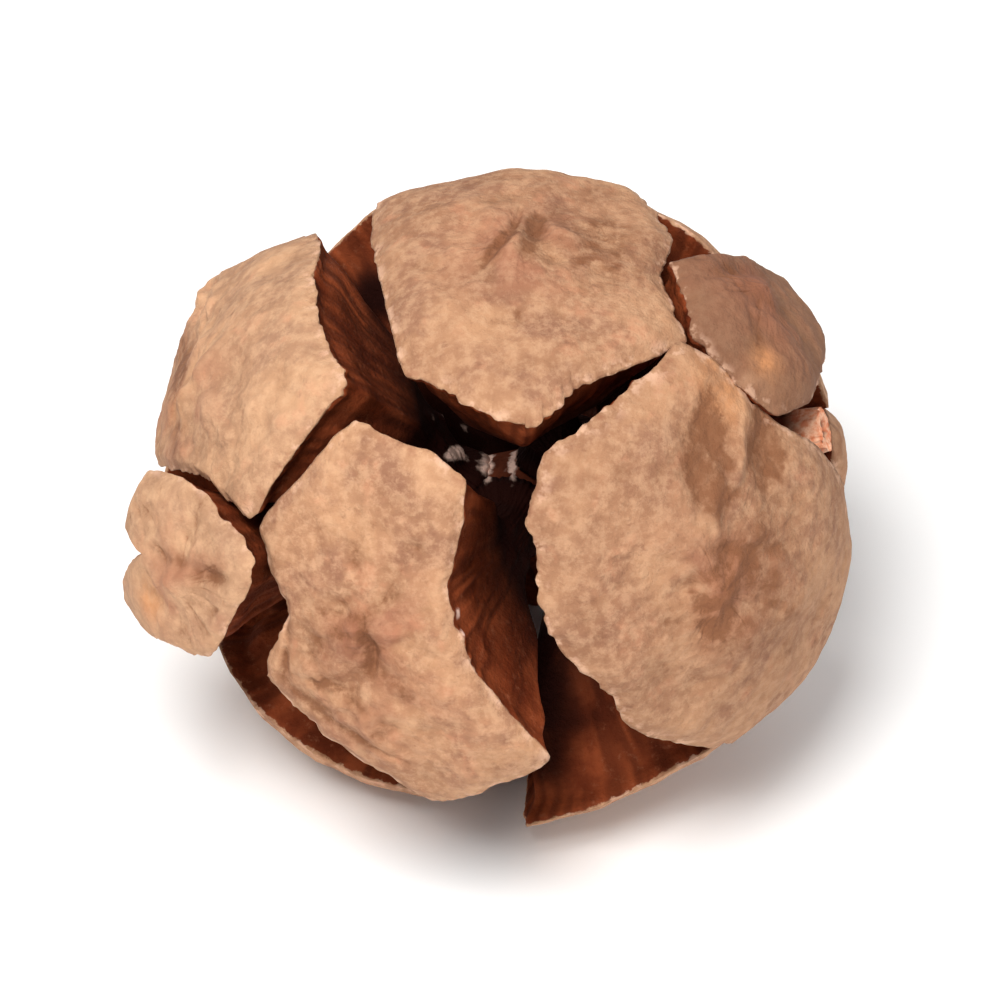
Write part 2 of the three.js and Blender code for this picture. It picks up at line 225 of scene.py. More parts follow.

# Deep places where the walls are painted nearly black as shade, listed in the same way
PAINTED_HOLLOW_SHADE = [
    ((112, 10.4, 4.4), (88, 9.2, 3.0), 1.3, 1.0),
    ((88, 9.2, 3.0), (48, 8.3, 1.8), 1.4, 1.0),
    ((48, 8.3, 1.8), (29, 8.4, 1.3), 1.2, 0.95),
    ((-113, 6.2, 0.0), (-96, 8.9, -0.3), 1.7, 1.0),
    ((-96, 8.9, -0.3), (-93, 11.2, 0.6), 1.3, 0.75),
]

# Orange patches on the skin: scale, place as a direction, and radius
PATCHES = [
    ("scale_6a", (-5, 142), 0.9),
    ("scale_5a", (47, 139), 0.8),
    ("scale_2a", (17, 33), 1.4),
    ("scale_1a", (30, 25), 0.7),
]

# ---- the finer surface, in millimetres
# Points round a scale's mesh, and rings of its face, its wall and its stalk
FINE, MEDIUM, COARSE = (540, 66, 24, 26), (400, 50, 20, 24), (300, 38, 18, 22)
MESHES = {
    "scale_2a": FINE, "scale_3a": FINE, "scale_4a": FINE, "scale_5a": FINE, "scale_1a": MEDIUM,
    "scale_6a": MEDIUM,
}
# Point values for the material: off the skin, near the rim, painted shade in folds, cracks and
# low places with the brown stains (a painted ridge highlight is negative), on a pale scar, painted
# shade deep in a gap, pinker, and orange
LAYERS = ("wall", "edge", "crease", "scar", "deep", "blush", "warm")
SEED_STEP = 7.3
CORNER_WEAR = 0.14
KNOB_HEIGHT, KNOB_REACH = 0.5, 0.8
RAY_HEIGHT = 0.16
SWELL_HEIGHT, SWELL_SIZE = 0.32, 3.4
LUMP_HEIGHT, LUMP_SIZE = 0.12, 1.3
BROAD_HEIGHT, BROAD_SIZE = 0.20, 4.2
CRACK_DEPTH, CRACK_PATCH = 0.045, 2.6
PIT_DEPTH, PIT_SIZE = 0.03, 0.3
KNOT_SIZE = 0.75
BRINK_DROP = 0.22
BLUSH_REACH = 2.8
WALL_DEPTH = WALL_SECTIONS[-1][0]
JAG_FADE = 0.5
STREAK_HEIGHT, STREAK_SIZE = 0.07, 0.33
RIPPLE_HEIGHT, RIPPLE_SIZE = 0.13, 1.6
UNDERCUT, UNDERCUT_DEPTH, UNDERCUT_REACH = 0.16, 1.0, 0.8
GRAIN_HEIGHT, FOOT_FLARE = 0.06, 0.9
MARK_RISE = 0.15
AXIS_AROUND = 120
AXIS_END_REACHES = (0.12, 0.26, 0.4, 0.55, 0.7, 0.82, 0.92, 0.98)
AXIS_CUT = (-13.8, -12.7)
PITH_RISE, PITH_REACH = 0.35, 0.35

LIE = Euler((0, math.radians(90 + APEX_DROP), math.radians(HEADING)), "XYZ").to_quaternion()
LIE = LIE @ Quaternion((0, 0, 1), math.radians(ROLL))
TURN = np.array(LIE.to_matrix())
SHIFT = np.array([*CENTRE_SHIFT, REST_HEIGHT])


def lerp(a, b, t):
    return a + (b - a) * t


def smooth(low, high, x):
    t = np.clip((x - low) / (high - low), 0, 1)
    return t * t * (3 - 2 * t)


def fading(away, reach):
    """One at no distance and less the further away."""
    return np.exp(-((away / reach) ** 2))


def unit(v):
    return v / np.linalg.norm(v, axis=-1, keepdims=True)


def direction(azimuth, colatitude):
    a, c = math.radians(azimuth), math.radians(colatitude)
    return np.array([math.sin(c) * math.cos(a), math.sin(c) * math.sin(a), -math.cos(c)])


def polar(azimuth, reach, height):
    a = math.radians(azimuth)
    return np.array([reach * math.cos(a), reach * math.sin(a), height])


def body_reach(d):
    """How far the body's spheroid reaches along a direction."""
    return 1 / math.sqrt((d[0] ** 2 + d[1] ** 2) / BODY_RADIUS**2 + d[2] ** 2 / BODY_HALF_LENGTH**2)


def axis_radius(height):
    return float(np.interp(height, [z for _, z in AXIS_PROFILE], [r for r, _ in AXIS_PROFILE]))


def lattice(i, j, k):
    """A seeded value from -1 to 1 for each corner of the noise's lattice."""
    s = np.sin(i * 127.1 + j * 311.7 + k * 74.7) * 43758.5453
    return 2 * (s - np.floor(s)) - 1


def noise(x, y, z):
    """Seeded smooth noise over space, from -1 to 1."""
    x, y, z = np.broadcast_arrays(np.asarray(x, float), np.asarray(y, float), np.asarray(z, float))
    i, j, k = np.floor(x), np.floor(y), np.floor(z)
    u, v, w = (t * t * (3 - 2 * t) for t in (x - i, y - j, z - k))

    def row(b, c):
        return lerp(lattice(i, j + b, k + c), lattice(i + 1, j + b, k + c), u)

    return lerp(lerp(row(0, 0), row(1, 0), v), lerp(row(0, 1), row(1, 1), v), w)


def turbulence(x, y, z, octaves):
    """Noise with finer and fainter copies of itself."""
    total, part = 0.0, 1.0
    for n in range(octaves):
        f = 2.03**n
        total = total + part * noise(x * f + 17.3 * n, y * f - 9.1 * n, z * f + 4.7 * n)
        part *= 0.5
    return total


def in_space(points, size, *shift):
    """The coordinates of points, for noise of a size, shifted so that each scale differs."""
    return (points / size + shift).T


class Seat:
    """Where a shield sits: its middle, and its across, along and outward directions."""

    def __init__(self, centre, lift, crown, lean):
        ray = direction(*centre)
        middle = ray * body_reach(ray)
        self.out = unit(middle / [BODY_RADIUS**2, BODY_RADIUS**2, BODY_HALF_LENGTH**2])
        self.middle = middle + self.out * lift
        a = math.radians(centre[0])
        self.across = np.array([-math.sin(a), math.cos(a), 0.0])
        self.along = np.cross(self.out, self.across)
        tip, swing = (math.tan(math.radians(t)) for t in lean)
        inward = -(self.out + self.along * tip + self.across * swing)
        self.root = self.middle + inward * np.linalg.norm(self.middle)
        self.crown = crown

    def at(self, x, y, h):
        x, y, h = (np.asarray(v, float)[..., None] for v in (x, y, h))
        return self.middle + self.across * x + self.along * y + self.out * h

    def on_face(self, ray):
        """A direction as across and along coordinates on the shield's curved face."""
        dx, dy, dz = (float(ray @ u) for u in (self.across, self.along, self.out))
        mx, my, mz = (-float(self.middle @ u) for u in (self.across, self.along, self.out))
        a = (dx * dx + dy * dy) / (2 * self.crown)
        b = dz + (mx * dx + my * dy) / self.crown
        c = mz + (mx * mx + my * my) / (2 * self.crown)
        t = -c / b if a < 1e-9 else (-b + math.sqrt(max(0, b * b - 4 * a * c))) / (2 * a)
        return np.array([mx + t * dx, my + t * dy])

    def drop(self, x, y):
        """How far the curved face lies below its middle."""
        return -(x * x + y * y) / (2 * self.crown)

    def sunk(self, points, depth):
        """The points moved a depth towards the root of the scale."""
        return points + unit(self.root - points) * depth

    def lines(self, name, rows):
        """One scale's listed lines: depth or strength, half width, and points on the face."""
        return [
            (value, width, np.array([self.on_face(direction(*ray)) for ray in rays]))
            for owner, value, width, rays in rows
            if owner == name
        ]

    def spots(self, name, rows):
        """One scale's listed spots: the place on the face, and the other values."""
        own = (row[1:] for row in rows if row[0] == name)
        return [(self.on_face(direction(*ray)), *values) for ray, *values in own]


def closed_curve(corners, count):
    """A closed Catmull-Rom curve through the corners, as count points."""
    n = len(corners)
    u = np.arange(count) / count * n
    i = np.floor(u).astype(int)
    t = (u - i)[:, None]
    p0, p1, p2, p3 = (corners[(i + d) % n] for d in (-1, 0, 1, 2))
    t0, t1 = OUTLINE_TENSION * (p2 - p0), OUTLINE_TENSION * (p3 - p1)
    square, cube = -3 * p1 + 3 * p2 - 2 * t0 - t1, 2 * p1 - 2 * p2 + t0 + t1
    return p1 + t0 * t + square * t**2 + cube * t**3


def round_off(points, reach):
    """The closed line of points with its corners worn round over a reach."""
    step = np.linalg.norm(points - np.roll(points, 1, axis=0), axis=1).mean()
    half = max(1, int(reach / step))
    shifts = np.arange(-half * 2, half * 2 + 1)
    weights = fading(shifts, half)
    weights /= weights.sum()
    return sum(w * np.roll(points, s, axis=0) for s, w in zip(shifts, weights))


def relief(seed, umbo, x, y):
    """The low relief shared with the solids: the umbo, folds that run out from it, and swells."""
    dx, dy = x - umbo[0], y - umbo[1]
    far = np.hypot(dx, dy)
    knob = KNOB_HEIGHT * fading(far, KNOB_REACH)
    reach = np.where(far > 0, far, 1)
    ray = noise(2.1 * dx / reach + seed, 2.1 * dy / reach, seed + 0.16 * far)
    folds = RAY_HEIGHT * ray * (far / 2) ** 2 * np.exp(2 - far)
    swell = SWELL_HEIGHT * noise(x / SWELL_SIZE + seed, y / SWELL_SIZE, seed)
    return knob + folds + swell


def starburst(seed, angle, far):
    """Fine cracks that run out from the umbo, and branch further out, from 0 to 1."""
    total = np.zeros_like(far)
    for level, (low, high, lines) in enumerate(((0.3, 3.0, 5), (1.8, 5.0, 10))):
        here = smooth(low, low + 1.2, far) * (1 - smooth(high - 1.2, high, far))
        bent = angle + 0.10 * noise(far * 0.8 + seed, 3 * np.cos(angle), 3 * np.sin(angle) + level)
        across = lines * np.cos(bent) + seed, lines * np.sin(bent) - level * 9.7
        near = np.clip(1 - 4.5 * np.abs(noise(*across, seed + 0.22 * far)), 0, 1)
        total += (1 - 0.4 * level) * here * near**1.3
    return total


def stroke(x, y, points, width):
    """Nearness to a line drawn through points on a face, from 0 to 1, fading to its ends."""
    best = np.zeros_like(x)
    lengths = [0.0]
    for p, q in zip(points[:-1], points[1:]):
        lengths.append(lengths[-1] + float(np.hypot(*(q - p))))
    for n, (p, q) in enumerate(zip(points[:-1], points[1:])):
        line = q - p
        t = np.clip(((x - p[0]) * line[0] + (y - p[1]) * line[1]) / (line @ line), 0, 1)
        away = np.hypot(x - p[0] - t * line[0], y - p[1] - t * line[1])
        way = (lengths[n] + t * (lengths[n + 1] - lengths[n])) / lengths[-1]
        taper = 0.35 + 0.65 * np.sin(np.pi * np.clip(way, 0, 1)) ** 0.7
        best = np.maximum(best, fading(away, width * taper) * taper)
    return best


def marked(points, marks):
    """Nearness of points in the cone's own frame to listed marks, from 0 to 1."""
    best = np.zeros(len(points))
    for start, end, width, strength in marks:
        p, q = polar(*start), polar(*end)
        line = q - p
        t = np.clip(((points - p) @ line) / (line @ line), 0, 1)
        away = np.linalg.norm(points - p - t[:, None] * line, axis=1)
        best = np.maximum(best, strength * fading(away, width))
    return best


def shaded_depth(deep, ring):
    """How much painted shade a ring gets from how deep it lies, at least as much as in the painted
    hollows it runs through.
    """
    return np.maximum(deep, 0.4 + 0.35 * marked(ring, PAINTED_HOLLOW_SHADE))


def laid_down(points):
    """Points of the cone's own frame in the object's frame, in metres, none below the floor."""
    world = points @ TURN.T + SHIFT
    world[:, 2] = np.maximum(world[:, 2], 0)
    return world * 0.001


class Rings:
    """The rings of a closed mesh, with named values for each point."""

    def __init__(self, around, names, **common):
        self.around = around
        self.rings = []
        self.common = common
        self.layers = {name: [] for name in (*names, *common)}

    def add(self, ring, **values):
        self.rings.append(ring)
        values |= self.common
        for name, rows in self.layers.items():
            rows.append(np.full(self.around, values.get(name, 0.0), float))

    def piece(self, name, first, last):
        """The object with this mesh, closed by a first and a last point."""
        count, total = self.around, len(self.rings)
        points = laid_down(np.vstack([first[None], *self.rings, last[None]]))
        i = np.arange(count)
        j = (i + 1) % count
        quads = []
        for r in range(total - 1):
            a, b = 1 + r * count, 1 + (r + 1) * count
            quads.append(np.stack([a + i, b + i, b + j, a + j], axis=1))
        quads = np.concatenate(quads)
        end = len(points) - 1
        low = 1 + (total - 1) * count
        tops = np.stack([np.zeros(count, int), 1 + i, 1 + j], axis=1)
        tails = np.stack([low + i, np.full(count, end), low + j], axis=1)
        loops = np.concatenate([quads.ravel(), tops.ravel(), tails.ravel()])
        sizes = np.concatenate([np.full(len(quads), 4), np.full(2 * count, 3)])
        starts = np.concatenate([[0], np.cumsum(sizes)[:-1]])
        mesh = bpy.data.meshes.new(name)
        mesh.vertices.add(len(points))
        mesh.vertices.foreach_set("co", points.ravel().astype(np.float32))
        mesh.loops.add(len(loops))
        mesh.loops.foreach_set("vertex_index", loops.astype(np.int32))
        mesh.polygons.add(len(sizes))
        mesh.polygons.foreach_set("loop_start", starts.astype(np.int32))
        mesh.update(calc_edges=True)
        mesh.validate()
        mesh.shade_smooth()
        for key, rows in self.layers.items():
            flat = np.concatenate([[rows[0].mean()], *rows, [rows[-1].mean()]]).astype(np.float32)
            mesh.attributes.new(key, "FLOAT", "POINT").data.foreach_set("value", flat)
        return linked(bpy.data.objects.new(name, mesh))


def linked(thing):
    bpy.context.scene.collection.objects.link(thing)
    return thing


def scale_piece(number, scale):
    name, pair, centre, umbo_ray, lift, crown, lean, outline = scale
    around, face_count, wall_count, stalk_count = MESHES.get(name, COARSE)
    seed = SEED_STEP * number
    seat = Seat(centre, lift, crown, lean)
    umbo = seat.on_face(direction(*umbo_ray))
    corners = np.array([seat.on_face(direction(*ray)) for ray in outline])
    after = np.roll(corners, -1, axis=0)
    if np.sum(corners[:, 0] * after[:, 1] - after[:, 0] * corners[:, 1]) < 0:
        corners = corners[::-1]
    plain = closed_curve(corners, around)
    rim = round_off(plain, CORNER_WEAR)
    rim_x, rim_y = rim.T
    drops = seat.drop(rim_x, rim_y)
    heart = seat.at(0, 0, drops.mean())
    rings = Rings(around, LAYERS, tone=TONES[name])

    # how far the worn rim stands out: waves of three sizes, the finer ones strongest in rough parts
    normal = np.roll(rim, -1, axis=0) - np.roll(rim, 1, axis=0)
    normal = unit(np.stack([normal[:, 1], -normal[:, 0]], axis=1))
    rough = smooth(-0.3, 0.5, noise(rim_x / 3.1 + 2 * seed, rim_y / 3.1, 6.6))
    jag = 0.13 * noise(rim_x / 1.4 + seed, rim_y / 1.4, 3.1)
    jag += (0.04 + 0.16 * rough) * noise(rim_x / 0.6, rim_y / 0.6 + seed, 8.7)
    jag += (0.02 + 0.08 * rough) * noise(rim_x / 0.24, rim_y / 0.24 + seed, 5.2)
    jag += 0.10 - 0.12 * rough if name in MESHES else 0.16 - 0.06 * rough
    for spot, bulge, width in seat.spots(name, RIM_BULGES):
        jag += bulge * fading(np.hypot(rim_x - spot[0], rim_y - spot[1]), width)

    # the face, from the umbo to the rim
    folds, stains = seat.lines(name, FOLDS), seat.lines(name, STAINS)
    patches, blushes = seat.spots(name, PATCHES), seat.spots(name, BLUSHES)
    wrinkled = seat.spots(name, WRINKLED)
    for share in np.linspace(0, 1, face_count + 1)[1:] ** 0.92:
        worn = rim + normal * (jag * share**8)[:, None]
        x = lerp(umbo[0], worn[:, 0], share)
        y = lerp(umbo[1], worn[:, 1], share)
        h = relief(seed, umbo, x, y) * (1 - 0.6 * share**6) - RIM_ROUND * share**10
        spot = seat.at(x, y, seat.drop(x, y))
        far = np.hypot(x - umbo[0], y - umbo[1])
        angle = np.arctan2(y - umbo[1], x - umbo[0])
        lumps = turbulence(*in_space(spot, LUMP_SIZE, 0, 0, seed), 3)
        broad = turbulence(*in_space(spot, BROAD_SIZE, seed, 0, 0), 2)
        cracked = smooth(-0.5, 0.5, noise(*in_space(spot, CRACK_PATCH, 0, seed, 0)))
        cracks = starburst(seed, angle, far) * (0.35 + 0.65 * cracked)
        pits = smooth(0.45, 0.85, noise(*in_space(spot, PIT_SIZE, 0, seed, 0)))
        knots = turbulence(*in_space(spot, KNOT_SIZE, 0, seed, 0), 2)
        sunk, paint = np.zeros_like(x), np.zeros_like(x)
        for depth, width, points in folds:
            near = stroke(x, y, points, width)
            sunk = sunk + depth * near
            # folds are painted darker as shade and ridges lighter as a highlight, broad ones less
            paint = paint + depth * near * min(1, 0.5 / width)
        for strength, width, points in stains:
            paint = paint + strength * stroke(x, y, points, width) * np.clip(0.7 + lumps, 0, 1.4)
        fine = LUMP_HEIGHT * lumps + BROAD_HEIGHT * broad - CRACK_DEPTH * cracks - PIT_DEPTH * pits
        for place, reach, rise in wrinkled:
            near = fading(np.hypot(x - place[0], y - place[1]), reach)
            fine = fine + rise * near * knots
            # the wrinkles' raised parts are painted lighter and their low parts darker, as light
            # and shade
            paint = paint - 0.12 * near * knots
        h = h + fine * (1 - 0.5 * share**6) - sunk * np.clip(0.85 + 0.5 * lumps, 0.3, 1.4)
        h = h - BRINK_DROP * smooth(0.86, 1.0, share) ** 2
        blush, glow = fading(far, BLUSH_REACH), np.zeros_like(x)
        for place, reach, part in blushes:
            blush = np.maximum(blush, part * fading(np.hypot(x - place[0], y - place[1]), reach))
        for place, reach in patches:
            glow = np.maximum(glow, fading(np.hypot(x - place[0], y - place[1]), reach))
        rings.add(
            seat.at(x, y, seat.drop(x, y) + h),
            edge=smooth(0.93, 1.0, share),
            # painted shade in folds, cracks, pits and between lumps, with the brown stains; raised
            # lumps painted lighter
            crease=np.clip(2.6 * paint + 0.3 * cracks + 0.1 * pits - 0.45 * lumps, -1, 1),
            blush=blush * smooth(-0.6, 0.5, lumps + 0.5 * broad),
            warm=glow,
        )

    # the side wall, from the rim inwards
    brink = rings.rings[-1]
    for depth in np.linspace(0, 1, wall_count + 1)[1:] ** 1.3 * WALL_DEPTH:
        size = np.interp(depth, [d for d, _ in WALL_SECTIONS], [s for _, s in WALL_SECTIONS])
        kept = rim + normal * (jag * math.exp(-depth / JAG_FADE))[:, None]
        ring = seat.sunk(seat.at(kept[:, 0], kept[:, 1], drops), depth)
        middle = seat.sunk(heart, depth)
        ring = lerp(ring, middle, 1 - size)
        ring = lerp(seat.sunk(brink, depth), ring, smooth(0.0, 1.4, depth))
        away = unit(ring - middle)
        streak = noise(rim_x / STREAK_SIZE + seed, rim_y / STREAK_SIZE, 0.35 * depth)
        ripple = turbulence(rim_x / RIPPLE_SIZE, rim_y / RIPPLE_SIZE + seed, 0.6 * depth, 2)
        bump = (STREAK_HEIGHT * streak + RIPPLE_HEIGHT * ripple) * min(1, depth / 0.3)
        pale = marked(ring, SEED_MARKS)
        bump += MARK_RISE * pale - UNDERCUT * fading(depth - UNDERCUT_DEPTH, UNDERCUT_REACH)
        rings.add(
            ring + away * bump[:, None],
            wall=smooth(-0.1, 0.25, depth),
            edge=1 - smooth(0.0, 0.5, depth),
            crease=0.5 - 0.8 * streak,
            scar=pale,
            # painted shade, darker deeper into the gap
            deep=shaded_depth(0.5 * depth / WALL_DEPTH, ring),
        )

    # the stalk, from under the shield to the axis
    foot_height = FOOT_HEIGHTS[pair - 1]
    foot = polar(centre[0], axis_radius(foot_height) + FOOT_GAP * 0.1, foot_height)
    inward = -polar(centre[0], 1.0, 0.0)
    start = seat.sunk(heart, WALL_DEPTH)
    bend = 0.4 * np.linalg.norm(start - foot)
    p1, p2 = seat.sunk(start, bend), foot - inward * bend
    up = np.array([0.0, 0.0, 1.0])
    neck = STALK_SECTIONS[1][0]
    ways, *sections = zip(*STALK_SECTIONS)
    share = np.arange(around) / around
    turn = math.atan2(plain[0][1], plain[0][0]) + 2 * np.pi * share
    turn_x, turn_y = np.cos(turn), np.sin(turn)

    def stalk_ring(way, lift):
        """A ring of the stalk, from the outline's own shape to a round one, raised by a lift."""
        size, roundness, radius = (np.interp(way, ways, values) for values in sections)
        back = 1 - way
        middle = back**3 * start + 3 * back**2 * way * p1 + 3 * back * way**2 * p2 + way**3 * foot
        along = unit(lerp(seat.along, up, way))
        reach = radius + lift + FOOT_FLARE * smooth(0.88, 1.0, way)
        x = lerp(rim_x * size, reach * turn_x, roundness)
        y = lerp(rim_y * size, reach * turn_y, roundness)
        return middle + seat.across * x[:, None] + along * y[:, None]

    shoulder = rings.rings[-1]
    for way in np.linspace(0, 1, stalk_count + 1)[1:]:
        rise = np.zeros(around)
        for n, row in enumerate(SCAR_WAYS):
            near = max(0, 1 - abs(way - row) / SCAR_SPREAD)
            lobe = np.maximum(0, np.cos(2 * np.pi * SCARS_ROUND * share + n * np.pi)) ** 1.6
            rise = np.maximum(rise, near * lobe)
        grain = noise(14 * turn_x + seed, 14 * turn_y, 3 * way)
        chosen = smooth(0.1, 0.5, noise(1.7 * turn_x + seed, 1.7 * turn_y, 5 * way))
        bare = stalk_ring(max(way, neck), 0.0)
        pale = marked(bare, SEED_MARKS)
        lift = SCAR_HEIGHT * rise + GRAIN_HEIGHT * grain + MARK_RISE * pale
        rings.add(
            lerp(shoulder, stalk_ring(max(way, neck), lift), min(1, way / neck)),
            wall=1.0,
            crease=0.5 - 0.8 * grain,
            scar=np.maximum(pale, 0.3 * smooth(0.3, 0.8, rise) * chosen),
            # painted shade, darker towards the axis
            deep=shaded_depth(0.5 + 0.5 * way, bare),
        )
    h = float(relief(seed, umbo, np.array([umbo[0]]), np.array([umbo[1]]))[0])
    return rings.piece(name + "_wood", seat.at(*umbo, seat.drop(*umbo) + h), foot)


def axis_piece():
    turn = 2 * np.pi * np.arange(AXIS_AROUND)[::-1] / AXIS_AROUND
    turn_x, turn_y = np.cos(turn), np.sin(turn)
    cut_radius, cut_height = AXIS_PROFILE[0]
    top_height = AXIS_PROFILE[-1][1]
    rings = Rings(AXIS_AROUND, ("end", "pith", "scar"))
    for reach in AXIS_END_REACHES:
        radius = cut_radius * reach
        grain = noise(5 * turn_x * reach, 5 * turn_y * reach, 2.2)
        z = cut_height + PITH_RISE * fading(reach, PITH_REACH) + 0.12 * grain
        ring = np.stack([radius * turn_x, radius * turn_y, z], axis=1)
        rings.add(ring, end=1.0, pith=1 - smooth(0.2, 0.5, reach))
    for z in [*np.linspace(cut_height, -11.0, 60), *np.linspace(-10.9, top_height, 110)]:
        grain = noise(9 * turn_x, 9 * turn_y, 0.4 * z)
        lump = noise(2.2 * turn_x, 2.2 * turn_y, 0.9 * z + 5)
        radius = axis_radius(z) + 0.05 * grain + 0.09 * lump
        ring = np.stack([radius * turn_x, radius * turn_y, np.full(AXIS_AROUND, z)], axis=1)
        rings.add(ring, end=1 - smooth(*AXIS_CUT, z), scar=marked(ring, SEED_MARKS))
    first, last = np.array([0, 0, cut_height + 0.4]), np.array([0, 0, top_height + 0.2])
    return rings.piece("axis_wood", first, last)


# Colours of the skin, the side walls, the axis and its cut end, as sRGB from 0 to 255
COLORS = {
    "brown": (158, 113, 84), "tan": (192, 144, 108), "grey": (144, 100, 78),
    "pink": (204, 142, 108), "grain": (212, 168, 132), "speck": (130, 84, 60),
    "pale": (226, 186, 148), "dark": (112, 74, 54), "orange": (216, 148, 96),
    # the brown of painted shade in folds together with the stains, a painted ridge highlight, and
    # pale rim crumbs that are partly a painted highlight
    "blush": (158, 98, 74), "stain_and_shade_brown": (122, 76, 48), "painted_ridge_highlight": (220, 172, 134),
    "ragged": (150, 98, 72), "crumb_and_rim_highlight": (226, 182, 154), "bark": (106, 46, 24),
    "red bark": (140, 68, 38), "streak": (62, 24, 13), "dust": (160, 100, 72),
    # the first colour, a near-black brown, is painted shade for the deep gaps
    "deep": (34, 12, 8), "scar": (244, 206, 188), "dark axis": (58, 24, 14),
    "axis": (96, 46, 28), "cut": (232, 140, 98), "pale cut": (255, 200, 164), "pith": (58, 30, 24),
}


def color(name):
    """A named colour in linear light, with its alpha."""
    shares = (c / 255 for c in COLORS[name])
    line = (c / 12.92 if c <= 0.04045 else ((c + 0.055) / 1.055) ** 2.4 for c in shares)
    return (*line, 1.0)


class Nodes:
    """Short calls for building a material's node tree."""

    def __init__(self, name):
        self.material = bpy.data.materials.new(name)
        self.material.use_nodes = True
        self.tree = self.material.node_tree
        self.shader = next(n for n in self.tree.nodes if n.type == "BSDF_PRINCIPLED")
        self.place = self.add("ShaderNodeTexCoord").outputs["Object"]

    def add(self, kind, **values):
        node = self.tree.nodes.new(kind)
        for key, value in values.items():
            setattr(node, key, value)
        return node

    def link(self, source, target):
        if isinstance(source, bpy.types.NodeSocket):
            self.tree.links.new(source, target)
        else:
            target.default_value = source

    def value(self, name):
        return self.add("ShaderNodeAttribute", attribute_name=name).outputs["Fac"]

    def noise(self, size, detail=4, rough=0.6):
        """Noise with features of a size in millimetres."""
        node = self.add("ShaderNodeTexNoise")
        node.inputs["Scale"].default_value = 1000 / size
        node.inputs["Detail"].default_value = detail
        node.inputs["Roughness"].default_value = rough
        self.link(self.place, node.inputs["Vector"])
        return node.outputs["Fac"]

    def span(self, source, low, high, to_low=0.0, to_high=1.0):
        """A value eased from one range to another."""
        node = self.add("ShaderNodeMapRange", interpolation_type="SMOOTHSTEP")
        self.link(source, node.inputs["Value"])
        ends = {"From Min": low, "From Max": high, "To Min": to_low, "To Max": to_high}
        for key, value in ends.items():
            node.inputs[key].default_value = value
        return node.outputs["Result"]

    def calc(self, kind, a, b):
        node = self.add("ShaderNodeMath", operation=kind)
        self.link(a, node.inputs[0])
        self.link(b, node.inputs[1])
        return node.outputs[0]

    def mix(self, share, a, b):
        node = self.add("ShaderNodeMix", data_type="RGBA")
        self.link(share, node.inputs["Factor"])
        self.link(a, node.inputs["A"])
        self.link(b, node.inputs["B"])
        return node.outputs["Result"]

    def over(self, base, share, strength, name):
        """The base with a named colour laid over it, as far as a share and a strength say."""
        return self.mix(self.calc("MULTIPLY", share, strength), base, color(name))

    def bump(self, height, strength, distance_mm, base=None):
        node = self.add("ShaderNodeBump")
        node.inputs["Strength"].default_value = strength
        node.inputs["Distance"].default_value = distance_mm * 0.001
        self.link(height, node.inputs["Height"])
        if base is not None:
            self.link(base, node.inputs["Normal"])
        return node.outputs["Normal"]

    def finish(self, base, rough, specular, normal):
        sockets = self.shader.inputs
        self.link(base, sockets["Base Color"])
        self.link(rough, sockets["Roughness"])
        self.link(specular, sockets["Specular IOR Level"])
        self.link(normal, sockets["Normal"])
        return self.material


